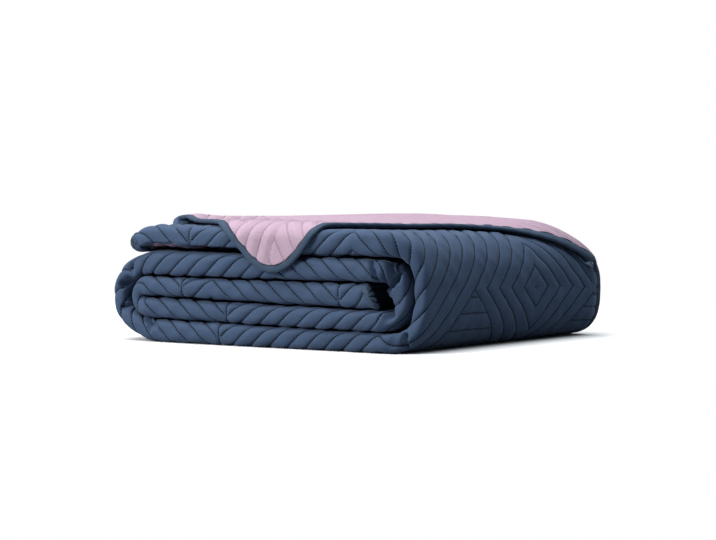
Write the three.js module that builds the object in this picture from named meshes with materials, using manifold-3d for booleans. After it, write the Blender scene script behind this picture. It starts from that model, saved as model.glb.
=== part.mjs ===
// A reversible microfibre quilt, folded for a shelf.
//
// The quilt is folded twice along its length into a strip of four plies: the front edge of the strip
// is a round fold, and two bound edges and one fold lie along its back. The strip is then wound flat
// into five layers: core, second, third, base and top, with a turn between each and the next. The free
// corner of the topmost ply is turned back over the stack, and its round tip hangs over the front.
//
// x runs from left to right along the front, y from front to back, z up, all in millimetres.

import * as THREE from "three";
import { mergeVertices } from "three/addons/utils/BufferGeometryUtils.js";
import Module from "manifold-3d";

// ---- driving dimensions --------------------------------------------------------------------------

const DEPTH = 425;
const TAPE = { width: 10, thickness: 5.5, round: 2 };
const GAP = { sewn: 0.3, sewnRoundTip: 0.6, betweenPlies: 0.4, draped: 2 };

// The straight layers of the strip, from its inner end to its outer end. Each runs from (x0, z0) to
// (x1, z1) on its middle line, and t is the thickness of the four plies there.
const LAYERS = [
  { name: "core", x0: 382, z0: 70.5, t0: 31, x1: 42, z1: 70.5, t1: 24 },
  { name: "second", x0: 42, z0: 43, t0: 26, x1: 398, z1: 39.5, t1: 26 },
  { name: "third", x0: 396, z0: 102.8, t0: 28, x1: 60, z1: 100, t1: 31 },
  { name: "base", x0: 66, z0: 14, t0: 28, x1: 405, z1: 12.5, t1: 25 },
  { name: "top", x0: 392, z0: 137.5, t0: 33, x1: 54, z1: 133.5, t1: 29 },
];

// The turns between one layer and the next: the x that the middle line reaches, the thickness there,
// how square the turn is (2 is an ellipse), and how far its front edge is drawn back.
const TURNS = [
  { reach: 25, t: 22, square: 2.0, drawn: 6 },
  { reach: 421.5, t: 22, square: 2.3, drawn: 16 },
  { reach: -4, t: 20, square: 2.2, drawn: 6 },
  { reach: 447, t: 22, square: 2.8, drawn: 24 },
];

const STEPS = { layer: 8, topLayer: 14, turn: 13, nose: 5 };
const FRONT = { nose: 17, waver: 2.5, waverLength: 61 };
const BACK = { waver: 4, waverLength: 83, foldNose: 10, foldRound: 3 };
const OUTER_END = { length: 30, t: 26, drop: 9, madeTo: [0.4, 0.8] };

// The stack is fullest along its front fold, and its back right corner slumps.
const SETTLE = { frontDepth: 75, flat: 0.97, slump: 0.16, slumpFrom: 260, slumpTo: 445 };

// The turned-back corner, flat: its outline from the back right, round its tip, to the left end. x and
// y are where each corner lies on the unrolled top of the stack, and r is how round it is.
const CORNER = [
  { x: 451, y: 397.5, r: 0 },
  { x: 331, y: 18, r: 95 },
  { x: 245, y: -73.5, r: 58 },
  { x: 147, y: 16, r: 60 },
  { x: 42, y: 88, r: 0 },
];
const PLY = 7;

// The corner's crease: how far it lies from the line between the corner's two ends, how round it is,
// how deep it is rooted in the cloth below, and where the cloth above it starts.
const CREASE = { x: -5, y: 7, nose: 7, root: 7.6, lead: 12, cloth: 16 };

// How the top ply's surface steps down behind the crease, and stays clear of the tapes.
const STEP_DOWN = { before: 10, after: 6, clear: 12 };
const STEEPEST = THREE.MathUtils.degToRad(86);
const CORNER_STEPS = { along: 50, across: 15, denserToEdge: 1.5 };

const COLOURS = {
  face: 0x46566f,
  tape: 0x3d4c63,
};

// ---- the strip's path ----------------------------------------------------------------------------

const mix = (a, b, f) => a + (b - a) * f;
const ramp = (from, to, x) => THREE.MathUtils.smoothstep(x, from, to);
const bend = (v, power) => Math.sign(v) * Math.abs(v) ** power;

// Points on the middle line of one layer, without its ends.
function layerPoints(layer) {
  const points = [];
  const steps = layer.name === "top" ? STEPS.topLayer : STEPS.layer;
  for (let i = 0; i <= steps; i++) {
    const f = i / steps;
    const sag = Math.sin(Math.PI * f) * (layer.name === "base" ? 0 : 0.6);
    points.push({
      x: mix(layer.x0, layer.x1, f),
      z: mix(layer.z0, layer.z1, f) - sag,
      t: mix(layer.t0, layer.t1, f),
      drawn: 0,
    });
  }
  return points;
}

// A turn is half of a squared ellipse between the end of one layer and the start of the next.
function turnPoints(turn, before, after) {
  const points = [];
  const middle = (before.z1 + after.z0) / 2;
  const half = (after.z0 - before.z1) / 2;
  for (let i = 1; i < STEPS.turn; i++) {
    const f = i / STEPS.turn;
    const angle = Math.PI * (f - 0.5);
    const out = bend(Math.cos(angle), 2 / turn.square);
    const bulge = Math.sin(Math.PI * f) ** 1.2;
    points.push({
      x: mix(mix(before.x1, after.x0, f), turn.reach, out),
      z: middle + half * bend(Math.sin(angle), 2 / turn.square),
      t: mix(mix(before.t1, after.t0, f), turn.t, bulge),
      drawn: turn.drawn * bulge,
    });
  }
  return points;
}

// The outer end of the strip dips and thins beyond the top layer.
function outerEnd(layer) {
  return OUTER_END.madeTo.map((f) => ({
    x: layer.x1 - OUTER_END.length * f,
    z: layer.z1 - OUTER_END.drop * f * f,
    t: mix(layer.t1, OUTER_END.t, f),
    drawn: 0,
  }));
}

function stripPath() {
  const points = [];
  LAYERS.forEach((layer, i) => {
    points.push(...layerPoints(layer));
    if (i < TURNS.length) points.push(...turnPoints(TURNS[i], layer, LAYERS[i + 1]));
  });
  points.push(...outerEnd(LAYERS.at(-1)));
  let s = 0;
  points.forEach((p, i) => {
    const a = points[Math.max(i - 1, 0)];
    const b = points[Math.min(i + 1, points.length - 1)];
    const length = Math.hypot(b.x - a.x, b.z - a.z);
    s += i ? Math.hypot(p.x - a.x, p.z - a.z) : 0;
    p.s = s;
    p.outX = (b.z - a.z) / length;
    p.outZ = -(b.x - a.x) / length;
  });
  return points;
}

const PATH = stripPath();
const TOP_START = PATH.findLastIndex((p) => p.x === LAYERS.at(-1).x0);

// The path's point at length s, between its two neighbours, or straight on past its outer end.
function pathAt(s) {
  const further = PATH.findIndex((p) => p.s >= s);
  const next = further < 0 ? PATH.length - 1 : Math.max(1, further);
  const a = PATH[next - 1];
  const b = PATH[next];
  const f = (s - a.s) / (b.s - a.s);
  const at = {};
  for (const key of ["s", "x", "z", "t", "drawn", "outX", "outZ"]) at[key] = mix(a[key], b[key], f);
  return at;
}

// ---- from strip to stack -------------------------------------------------------------------------

// How much of its height a point of the stack keeps.
function settled(x, y) {
  const front = Math.exp(-((Math.max(y, 0) / SETTLE.frontDepth) ** 2));
  const back = THREE.MathUtils.clamp(y / DEPTH, 0, 1) ** 1.5;
  const slump = SETTLE.slump * ramp(SETTLE.slumpFrom, SETTLE.slumpTo, x) * back;
  return mix(SETTLE.flat, 1, front) - slump;
}

const LIES_FLAT = 0.9; // the base's underside is level to this, and is made exactly level

// The point n millimetres out from the strip's middle at p, at depth y.
function place(p, y, n) {
  const x = p.x + p.outX * n;
  const z = (p.z + p.outZ * n) * settled(x, y);
  return new THREE.Vector3(x, y, z < LIES_FLAT ? 0 : z);
}

const wave = (angle) => 0.5 + 0.5 * Math.sin(angle);
const frontEdge = (p) => p.drawn + FRONT.waver * wave(p.s / FRONT.waverLength);
const backEdge = (p) => DEPTH - BACK.waver * wave(p.s / BACK.waverLength + 1);

// Where the turned-back corner's crease crosses the strip at p, or past the back where it doesn't.
function creaseAt(p) {
  const [right, left] = [CORNER[0], CORNER.at(-1)];
  const onTop = p.s >= pathOnTop(right.x).s;
  const f = THREE.MathUtils.clamp((flatX(p) - left.x) / (right.x - left.x), 0, 1);
  return { y: mix(left.y, right.y, f), drop: onTop ? PLY : 0 };
}

// The flat x of the unrolled top layer, which goes on round the outer turn, and back again.
const flatX = (p) => LAYERS.at(-1).x0 + PATH[TOP_START].s - p.s;
const pathOnTop = (x) => pathAt(LAYERS.at(-1).x0 + PATH[TOP_START].s - x);

const SECTION_SPACING = [0.12, 0.3, 0.6, 1];

// One closed section across the strip: [y, n] pairs, round the front fold, back along the outer plies,
// round the back fold of the inner plies, and forward along them.
function stripSection(p) {
  const half = p.t / 2;
  const front = frontEdge(p);
  const back = backEdge(p);
  const bound = back - TAPE.width - GAP.sewn;
  const crease = creaseAt(p);
  const section = [];
  for (let i = 0; i <= STEPS.nose; i++) {
    const angle = Math.PI * (i / STEPS.nose - 0.5);
    section.push([front + FRONT.nose * (1 - Math.cos(angle)), half * Math.sin(angle)]);
  }
  const noseEnd = front + FRONT.nose;
  const innerStep = bound - STEP_DOWN.clear;
  const outerStep = Math.min(crease.y, innerStep);
  for (const f of SECTION_SPACING) section.push([mix(noseEnd, outerStep - STEP_DOWN.before, f), half]);
  section.push([outerStep + STEP_DOWN.after, half - crease.drop]);
  section.push([bound, half - crease.drop]);
  section.push([bound, -GAP.betweenPlies]);
  section.push([back - BACK.foldRound, -GAP.betweenPlies]);
  section.push([back, -half * 0.5]);
  section.push([back - BACK.foldRound, -half * 0.9]);
  section.push([back - BACK.foldNose, -half]);
  for (const f of SECTION_SPACING.toReversed()) {
    section.push([mix(noseEnd, innerStep - STEP_DOWN.before, f), -half]);
  }
  return section;
}

// ---- solids --------------------------------------------------------------------------------------

function closedGeometry(positions, triangles) {
  const geometry = new THREE.BufferGeometry();
  geometry.setAttribute("position", new THREE.Float32BufferAttribute(positions, 3));
  geometry.setIndex(triangles);
  return geometry;
}

// A closed solid swept through rings of equal length, with a cap on each end. The first and last
// ring's outlines are given in their own plane too, to fill the caps by.
function swept(rings, firstOutline, lastOutline) {
  const count = rings[0].length;
  const positions = rings.flat().flatMap((v) => [v.x, v.y, v.z]);
  const triangles = [];
  for (let i = 0; i + 1 < rings.length; i++) {
    for (let j = 0; j < count; j++) {
      const a = i * count + j;
      const b = i * count + ((j + 1) % count);
      triangles.push(a, b, a + count, b, b + count, a + count);
    }
  }
  const capOf = (outline) => {
    const points = outline.map(([y, n]) => new THREE.Vector2(y, n));
    return THREE.ShapeUtils.triangulateShape(points, []);
  };
  const last = (rings.length - 1) * count;
  for (const [a, b, c] of capOf(firstOutline)) triangles.push(a, b, c);
  for (const [a, b, c] of capOf(lastOutline)) triangles.push(last + a, last + c, last + b);
  return closedGeometry(positions, triangles);
}

// A closed slab between two grids of the same size. Two slabs that meet along a twisted edge need
// the quads of their rims split the same way, so one of them leans back.
function slab(top, bottom, rimLeansBack = false) {
  const rows = top.length;
  const columns = top[0].length;
  const positions = [...top.flat(), ...bottom.flat()].flatMap((v) => [v.x, v.y, v.z]);
  const under = rows * columns;
  const at = (i, j) => i * columns + j;
  const triangles = [];
  for (let i = 0; i + 1 < rows; i++) {
    for (let j = 0; j + 1 < columns; j++) {
      const [a, b, c, d] = [at(i, j), at(i + 1, j), at(i + 1, j + 1), at(i, j + 1)];
      triangles.push(a, b, c, a, c, d);
      triangles.push(under + a, under + c, under + b, under + a, under + d, under + c);
    }
  }
  const rim = [];
  for (let j = 0; j < columns; j++) rim.push(at(0, j));
  for (let i = 1; i < rows; i++) rim.push(at(i, columns - 1));
  for (let j = columns - 2; j >= 0; j--) rim.push(at(rows - 1, j));
  for (let i = rows - 2; i > 0; i--) rim.push(at(i, 0));
  rim.forEach((a, i) => {
    const b = rim[(i + 1) % rim.length];
    if (rimLeansBack) triangles.push(a, b, under + b, a, under + b, under + a);
    else triangles.push(a, b, under + a, b, under + b, under + a);
  });
  return closedGeometry(positions, triangles);
}

// ---- the pieces ----------------------------------------------------------------------------------

function stripGeometry() {
  const sections = PATH.map(stripSection);
  const rings = sections.map((section, i) => section.map(([y, n]) => place(PATH[i], y, n)));
  return swept(rings, sections[0], sections.at(-1));
}

// A tape along the back edge of one ply, between two depths in the strip, up to length s.
function backTape(low, high, until) {
  const along = PATH.filter((p) => p.s <= until);
  const section = (p) => {
    const [inner, outer] = [backEdge(p) - TAPE.width, backEdge(p)];
    const under = (p.t / 2) * low + GAP.betweenPlies;
    const over = (p.t / 2) * high - GAP.betweenPlies;
    return [
      [inner, over],
      [outer - TAPE.round, over],
      [outer, (under + over) / 2],
      [outer - TAPE.round, under],
      [inner, under],
    ];
  };
  const rings = along.map((p) => section(p).map(([y, n]) => place(p, y, n)));
  return swept(rings, section(along[0]), section(along.at(-1)));
}

// The tape over one end of the strip: its section drawn on past the end, thinning to a blunt edge.
function endTape(p, onward) {
  const section = stripSection(p);
  const profile = [
    { out: GAP.sewn, share: 1 },
    { out: TAPE.width * 0.6, share: 0.93 },
    { out: TAPE.width, share: 0.7 },
  ];
  const rings = profile.map(({ out, share }) => {
    const further = { ...p, x: p.x - p.outZ * out * onward, z: p.z + p.outX * out * onward };
    return section.map(([y, n]) => place(further, y, n * share));
  });
  return swept(onward > 0 ? rings : rings.reverse(), section, section);
}

// The outline of the turned-back corner, inset by some millimetres, as evenly spaced flat points.
function cornerOutline(inset) {
  const path = new THREE.Path();
  CORNER.forEach((corner, i) => {
    if (!i) return path.moveTo(corner.x, corner.y);
    if (i === CORNER.length - 1) return path.lineTo(corner.x, corner.y);
    const here = new THREE.Vector2(corner.x, corner.y);
    const toward = (other) => {
      const run = new THREE.Vector2(other.x, other.y).sub(here);
      return run.setLength(Math.min(corner.r, run.length() * 0.49)).add(here);
    };
    const [into, out] = [toward(CORNER[i - 1]), toward(CORNER[i + 1])];
    path.lineTo(into.x, into.y);
    return path.quadraticCurveTo(corner.x, corner.y, out.x, out.y);
  });
  const points = path.getSpacedPoints(CORNER_STEPS.along);
  return points.map((point, i) => {
    const before = points[Math.max(i - 1, 0)];
    const after = points[Math.min(i + 1, points.length - 1)];
    const along = after.clone().sub(before).normalize();
    return new THREE.Vector2(point.x + along.y * inset, point.y - along.x * inset);
  });
}

// A flat point of the corner, laid on the stack and over its front, h above the top layer.
function draped(flat, h) {
  const p = pathOnTop(flat.x);
  const half = p.t / 2;
  const turnsDown = frontEdge(p) + FRONT.nose;
  if (flat.y >= turnsDown) return place(p, flat.y, half + h);
  const radius = half + GAP.draped + PLY / 2;
  const angle = Math.min((turnsDown - flat.y) / radius, STEEPEST);
  const hanging = turnsDown - flat.y - angle * radius;
  const y = turnsDown - (half + h) * Math.sin(angle) - hanging * Math.cos(angle);
  const n = (half + h) * Math.cos(angle) - hanging * Math.sin(angle);
  return place(p, y, n);
}

const cornerHeights = { under: GAP.draped, over: GAP.draped + PLY };

// The corner's cloth: from its crease, which is rounded and joins the ply below, to the tape.
function cornerGeometry() {
  const edge = cornerOutline(TAPE.width + GAP.sewnRoundTip);
  const [right, left] = [edge[0], edge.at(-1)];
  const crease = edge.map((point, i) => {
    const f = i / CORNER_STEPS.along;
    return new THREE.Vector2(mix(right.x, left.x, f) + CREASE.x, mix(right.y, left.y, f) + CREASE.y);
  });
  const nose = [
    { back: CREASE.nose, over: 0.5 },
    { back: CREASE.nose * 0.7, over: cornerHeights.over * 0.6 },
    { back: 0, over: cornerHeights.over },
    { back: -CREASE.lead, over: cornerHeights.over },
  ];
  const top = [];
  const bottom = [];
  edge.forEach((point, i) => {
    const from = crease[i];
    const toEdge = point.clone().sub(from);
    const length = toEdge.length();
    const at = (distance) => from.clone().addScaledVector(toEdge, distance / length);
    const overs = nose.map(({ back, over }) => draped(at(-back), over));
    const unders = nose.map(({ back }) => draped(at(-back), -CREASE.root));
    for (let j = 0; j <= CORNER_STEPS.across; j++) {
      const f = 1 - (1 - j / CORNER_STEPS.across) ** CORNER_STEPS.denserToEdge;
      const flat = at(mix(Math.min(CREASE.cloth, length * 0.9), length, f));
      overs.push(draped(flat, cornerHeights.over));
      unders.push(draped(flat, cornerHeights.under));
    }
    top.push(overs);
    bottom.push(unders);
  });
  return slab(top, bottom);
}

function cornerTape() {
  const inner = cornerOutline(TAPE.width).slice(1, -1);
  const outer = cornerOutline(0).slice(1, -1);
  const middle = (cornerHeights.under + cornerHeights.over) / 2;
  const rows = (h) => inner.map((point, i) => [draped(point, h), draped(outer[i], h)]);
  return slab(rows(middle + TAPE.thickness / 2), rows(middle - TAPE.thickness / 2), true);
}

// ---- joining the corner to the strip -------------------------------------------------------------

const wasm = await Module();
wasm.setup();

function solidOf(geometry) {
  const merged = mergeVertices(geometry, 1e-3);
  return new wasm.Manifold(
    new wasm.Mesh({
      numProp: 3,
      vertProperties: merged.attributes.position.array,
      triVerts: new Uint32Array(merged.index.array),
    }),
  );
}

function joined(a, b) {
  const mesh = solidOf(a).add(solidOf(b)).getMesh();
  return closedGeometry(Array.from(mesh.vertProperties), Array.from(mesh.triVerts));
}

function pieceOf(name, geometry, colour) {
  const material = new THREE.MeshStandardMaterial({ color: colour, roughness: 0.85, metalness: 0 });
  const mesh = new THREE.Mesh(geometry, material);
  mesh.name = name;
  return mesh;
}

const outerTapeEnds = pathOnTop(CORNER[0].x).s - STEP_DOWN.clear;
const pieces = [
  pieceOf("quilt", joined(stripGeometry(), cornerGeometry()), COLOURS.face),
  pieceOf("tape_back_outer", backTape(0.5, 1, outerTapeEnds), COLOURS.tape),
  pieceOf("tape_back_inner", backTape(0, 0.5, Infinity), COLOURS.tape),
  pieceOf("tape_core_end", endTape(PATH[0], -1), COLOURS.tape),
  pieceOf("tape_outer_end", endTape(PATH.at(-1), 1), COLOURS.tape),
  pieceOf("tape_corner", cornerTape(), COLOURS.tape),
];

const stack = new THREE.Group();
stack.add(...pieces);
const box = new THREE.Box3().setFromObject(stack);
stack.position.set(-(box.min.x + box.max.x) / 2, -(box.min.y + box.max.y) / 2, -box.min.z);

export default stack;
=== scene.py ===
"""A reversible quilted microfibre blanket, folded for a shelf: navy outside, rose inside, bound all round.

All of the making is in millimetres on the stack's own axes: x from left to right along the front, y from
front to back, z up. It moves to the shared frame, in metres, when a mesh is made.
"""

import math

import bpy
import numpy as np
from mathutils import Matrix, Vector


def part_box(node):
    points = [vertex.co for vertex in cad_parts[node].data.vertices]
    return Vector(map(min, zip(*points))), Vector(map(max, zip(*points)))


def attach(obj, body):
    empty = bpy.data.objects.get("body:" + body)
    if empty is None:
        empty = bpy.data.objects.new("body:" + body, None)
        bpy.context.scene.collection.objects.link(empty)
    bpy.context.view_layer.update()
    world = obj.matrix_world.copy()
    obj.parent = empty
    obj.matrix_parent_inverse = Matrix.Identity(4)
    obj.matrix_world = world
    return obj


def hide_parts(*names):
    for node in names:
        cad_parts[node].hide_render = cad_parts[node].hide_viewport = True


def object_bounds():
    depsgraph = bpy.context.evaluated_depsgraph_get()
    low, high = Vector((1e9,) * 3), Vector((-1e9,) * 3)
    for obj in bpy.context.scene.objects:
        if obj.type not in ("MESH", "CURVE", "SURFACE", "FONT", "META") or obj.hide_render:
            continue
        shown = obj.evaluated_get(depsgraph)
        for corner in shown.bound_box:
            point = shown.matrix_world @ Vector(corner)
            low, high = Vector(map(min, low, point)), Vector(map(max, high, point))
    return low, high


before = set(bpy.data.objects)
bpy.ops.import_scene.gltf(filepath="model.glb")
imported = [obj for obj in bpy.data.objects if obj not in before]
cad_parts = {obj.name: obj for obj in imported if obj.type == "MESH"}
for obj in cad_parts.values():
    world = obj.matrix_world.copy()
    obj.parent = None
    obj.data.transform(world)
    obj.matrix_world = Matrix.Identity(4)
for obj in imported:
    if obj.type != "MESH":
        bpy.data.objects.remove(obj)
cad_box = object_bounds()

MM = 0.001

# ---- driving dimensions ----

DEPTH = 425.0
TAPE_WIDTH = 10.0
TAPE_THICKNESS = 5.5
PLY = 7.0
REST_GAP = 2.0

LAYERS = {
    "core": dict(x0=382, z0=70.5, t0=31, x1=42, z1=70.5, t1=24),
    "second": dict(x0=42, z0=43, t0=26, x1=398, z1=39.5, t1=26),
    "third": dict(x0=396, z0=102.8, t0=28, x1=60, z1=100, t1=31),
    "base": dict(x0=66, z0=14, t0=28, x1=405, z1=12.5, t1=25),
    "top": dict(x0=392, z0=137.5, t0=33, x1=54, z1=133.5, t1=29),
}
TURNS = [
    dict(reach=25, t=22, square=2.0, drawn=6),
    dict(reach=421.5, t=22, square=2.3, drawn=16),
    dict(reach=-4, t=20, square=2.2, drawn=6),
    dict(reach=447, t=22, square=2.8, drawn=24),
]
OUTER_END = dict(length=30, t=26, drop=13, made=0.8)
CORE_END = dict(slant=8, over=38, dent=20, dent_y=(9, 30, 150), dent_over=60)
FRONT = dict(nose=17, waver=2.5, wave=61, square=3.1)
BACK = dict(waver=4, wave=83, fold_nose=10)
# The stack is fullest along its front fold. It slumps to the right and back, most of all at that corner.
SETTLE = dict(front_depth=75, flat=0.97, slump=0.16, slump_x=(260, 445))
SETTLE_CORNER = dict(by=0.055, x=(385, 450), y=(330, 430))
# Cloth lower than this lies on the floor.
LIES_FLAT = 0.9

# The turned-back corner, flat: (x, y, roundness) from the back right, round its tip, to the left end.
CORNER = [(451, 397.5, 0), (331, 18, 95), (245, -73.5, 58), (147, 16, 60), (42, 88, 0)]
# Its crease: how far it is moved from the corner's own ends, and the depth and half height of its roll.
CREASE = dict(x=-5, y=7, nose=7.0, rise=8.0)
STEEPEST = math.radians(86)
# How far the corner is lifted off the cloth below at its crease, at each flat x along it.
LIFTED = dict(x=(40, 75, 140, 240, 310, 390, 430, 455), by=(6, 1.5, 0.5, 1.5, 0.5, 6.5, 5.5, 1.5), over=75)
# Near its ends the roll of the crease is navy, like the binding it runs into, and so is its rim.
NAVY_ENDS = dict(left=TAPE_WIDTH, right=12, rim_right=60)
# Beside its tip the corner's seams change at this depth of cloth and this flat x.
TIP_SEAM, TIP_APEX = 326.0, 66.0
# Where the crease cuts through the diamonds, the corner's seams keep one slant for this depth of cloth.
ONE_SLANT = 70.0

# Where the front folds are pinched: a line of (x, z) across the front, its width and depth, and the
# side of it that goes back, or 0 for both.
PINCHES = [
    ([(386, 116), (393, 100), (396, 89), (402, 80)], 2.4, 10.0, 0),
    ([(394, 113), (397, 106)], 2.0, 6.0, 0),
    ([(411, 113), (414, 99), (421, 93)], 2.6, 12.0, 0),
    ([(425, 99), (419, 91), (409, 83), (403, 73), (403, 66)], 4.0, 12.0, -1),
    ([(403, 65), (413, 47)], 3.8, 18.0, 0),
    ([(432, 24), (433, 9)], 2.2, 9.0, 0),
    ([(3, 71), (8, 73), (13, 77)], 3.6, 14.0, 0),
    ([(17, 97), (21, 86)], 2.2, 5.0, 0),
    ([(6, 42), (13, 43)], 3.0, 11.0, 0),
    ([(42, 28), (50, 22), (56, 21)], 3.0, 9.0, 0),
    ([(50, 22), (49, 14)], 2.2, 5.0, 0),
]
PINCH_FADES = (24, 62)
# The right inner turn bulges into the hollow it goes round, and more so behind its front fold.
HOLLOW_BULGE = dict(by=15.0, deeper=12.0, from_y=(24, 70), over=19.0, z=78.0)
# Left of this x the top layer's lower plies sag on what is below, and are tucked back under its hem.
HEM_X = 330
TUCK = dict(at=(42, 104, 166), run=(35.0, 37.0, 39.5), depth=30.0, from_x=(27, 36), to_x=(215, 245))
TUCK_STARTS, TUCK_FADES = (-0.2, 2.4), (60, 110)
SAG_TO_BELOW = dict(gap=0.4, most=9, from_y=(8, 30))
# At the far left an inner ply shows as soft lobes between narrow teeth: its depth, run and last x, and
# each tooth's x, its width and its share of the depth.
LOBES = dict(depth=16.0, run=10.0, eased=2, until=(104, 116), teeth=(54, 76, 97), tooth=2.4, cut=0.75)

# The quilting: seams 28 mm apart along either edge of the cloth, and ten mesh steps between them.
SEAM = 28.0
STEP = SEAM / 10
# Channels stand this proud of their seams, a share more on the front fold, over a soft rumple.
PUFF = 2.3
FRONT_PUFF = dict(more=0.2, over=40)
RUMPLE = 0.8
# The width of a channel square across it, and the length of one stitch with its gap.
ACROSS = SEAM / math.sqrt(2)
STITCH = 4.0


def smooth(a, b, x):
    """An eased step, 0 up to a and 1 from b on."""
    f = np.clip((x - a) / (b - a), 0, 1)
    return f * f * (3 - 2 * f)


def mix(a, b, f):
    return a + (b - a) * f


def bend(v, power):
    """v to a power, with its sign kept."""
    return np.sign(v) * np.abs(v) ** power


# ---- camera and studio ----

AZIMUTH, ELEVATION = math.radians(34.5), math.radians(4.0)
DISTANCE, VIEW_WIDTH = 12.0, 0.911
# From the front right foot of the stack to the middle of the view.
AIM_RIGHT, AIM_UP = -0.0712, 0.1069
AMBIENT = 0.05
FLOOR_WIDE, FLOOR_DROP = 20.0, 0.0002


def add_camera():
    low, high = cad_box
    corner = Vector((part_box("quilt")[1].x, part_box("tape_back_inner")[1].y - DEPTH * MM, 0))
    right = Vector((math.cos(AZIMUTH), math.sin(AZIMUTH), 0))
    tilt = math.sin(ELEVATION)
    up = Vector((-math.sin(AZIMUTH) * tilt, math.cos(AZIMUTH) * tilt, math.cos(ELEVATION)))
    towards = up.cross(right)
    middle = (Vector(low) + Vector(high)) / 2
    target = corner + AIM_RIGHT * right + AIM_UP * up
    target += towards * (middle - target).dot(towards)
    data = bpy.data.cameras.new("camera")
    data.lens = data.sensor_width * DISTANCE / VIEW_WIDTH
    data.clip_end = 60
    camera = bpy.data.objects.new("camera", data)
    camera.location = target + right.cross(up) * DISTANCE
    camera.rotation_euler = (target - camera.location).to_track_quat("-Z", "Y").to_euler()
    bpy.context.scene.collection.objects.link(camera)
    bpy.context.scene.camera = camera


def add_area_light(name, location, target, size, energy, colour=(1, 1, 1)):
    data = bpy.data.lights.new(name, "AREA")
    data.shape, data.size, data.size_y = "RECTANGLE", size[0], size[1]
    data.energy, data.color = energy, colour
    light = bpy.data.objects.new(name, data)
    light.location = location
    light.rotation_euler = (Vector(target) - Vector(location)).to_track_quat("-Z", "Y").to_euler()
    bpy.context.scene.collection.objects.link(light)


def add_node(tree, kind, **settings):
    """A node with its properties and input values set. Inputs are named with _ for spaces."""
    made = tree.nodes.new(kind)
    for key, value in settings.items():
        if hasattr(made, key):
            setattr(made, key, value)
        else:
            made.inputs[key.replace("_", " ")].default_value = value
    return made


def add_world():
    world = bpy.data.worlds.new("studio")
    bpy.context.scene.world = world
    world.use_nodes = True
    tree = world.node_tree
    tree.nodes.clear()
    link = tree.links.new
    path = add_node(tree, "ShaderNodeLightPath")
    ambient = add_node(tree, "ShaderNodeBackground", Color=(0.93, 0.96, 1, 1), Strength=AMBIENT)
    white = add_node(tree, "ShaderNodeBackground", Color=(1, 1, 1, 1), Strength=1.0)
    either = add_node(tree, "ShaderNodeMixShader")
    out = add_node(tree, "ShaderNodeOutputWorld")
    link(path.outputs["Is Camera Ray"], either.inputs[0])
    link(ambient.outputs[0], either.inputs[1])
    link(white.outputs[0], either.inputs[2])
    link(either.outputs[0], out.inputs[0])


def add_floor():
    """A pale floor that keeps the blanket's shadow near it, with painted shade where it meets the blanket,
    and goes to plain white further out.
    """
    mesh = bpy.data.meshes.new("floor")
    wide = FLOOR_WIDE
    corners = [(-wide, -wide, 0), (wide, -wide, 0), (wide, wide, 0), (-wide, wide, 0)]
    mesh.from_pydata(corners, [], [(0, 1, 2, 3)])
    floor = bpy.data.objects.new("floor", mesh)
    floor.location.z = -FLOOR_DROP
    bpy.context.scene.collection.objects.link(floor)
    material = bpy.data.materials.new("pale_floor")
    material.use_nodes = True
    tree = material.node_tree
    tree.nodes.clear()
    link = tree.links.new
    where = add_node(tree, "ShaderNodeNewGeometry")
    away = add_node(tree, "ShaderNodeVectorMath", operation="LENGTH")
    fade = add_node(tree, "ShaderNodeMapRange", From_Min=0.45, From_Max=0.9, interpolation_type="SMOOTHSTEP")
    in_view = add_node(tree, "ShaderNodeLightPath").outputs["Is Camera Ray"]
    seen = add_node(tree, "ShaderNodeMath", operation="MULTIPLY")
    shade = add_node(
        tree, "ShaderNodeMix", data_type="RGBA", A=(0.33, 0.34, 0.36, 1), B=(0.85, 0.85, 0.85, 1)
    )
    lit = add_node(tree, "ShaderNodeBsdfPrincipled", Roughness=0.9, Specular_IOR_Level=0.0)
    lit.inputs["Emission Color"].default_value = (1, 1, 1, 1)
    # Painted contact shade: for camera rays the floor glows, and glows less where ambient occlusion finds the
    # blanket close.
    near = add_node(tree, "ShaderNodeAmbientOcclusion", samples=8, Distance=0.05)
    close = add_node(tree, "ShaderNodeMapRange", From_Min=0.15, From_Max=0.95, To_Min=0.0, To_Max=0.42)
    glow_less_in_painted_shade = add_node(tree, "ShaderNodeMath", operation="MULTIPLY")
    plain = add_node(tree, "ShaderNodeEmission", Color=(1, 1, 1, 1), Strength=1.0)
    either = add_node(tree, "ShaderNodeMixShader")
    out = add_node(tree, "ShaderNodeOutputMaterial")
    link(where.outputs["Position"], away.inputs[0])
    link(away.outputs["Value"], fade.inputs["Value"])
    link(fade.outputs["Result"], seen.inputs[0])
    link(in_view, seen.inputs[1])
    link(in_view, shade.inputs["Factor"])
    link(near.outputs["AO"], close.inputs["Value"])
    link(close.outputs["Result"], glow_less_in_painted_shade.inputs[1])
    link(in_view, glow_less_in_painted_shade.inputs[0])
    link(glow_less_in_painted_shade.outputs[0], lit.inputs["Emission Strength"])
    link(shade.outputs["Result"], lit.inputs["Base Color"])
    link(seen.outputs[0], either.inputs[0])
    link(lit.outputs[0], either.inputs[1])
    link(plain.outputs[0], either.inputs[2])
    link(either.outputs[0], out.inputs[0])
    mesh.materials.append(material)


bpy.context.scene.view_settings.view_transform = "Standard"
add_camera()
add_world()
add_floor()
add_area_light("softbox_overhead", (-0.2, -0.4, 2.0), (0, 0, 0.1), (2.0, 1.8), 49)
add_area_light("softbox_front_left", (-1.2, -2.2, 1.2), (0, 0, 0.08), (0.8, 0.8), 50)
add_area_light("softbox_right", (1.3, 0.4, 2.2), (0.1, 0, 0.08), (1.6, 1.2), 12, (0.74, 0.89, 1.0))

# ---- the strip's path ----

LAYER_POINTS, TURN_POINTS, END_POINTS = 160, 202, 14
SAG = 0.6


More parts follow.
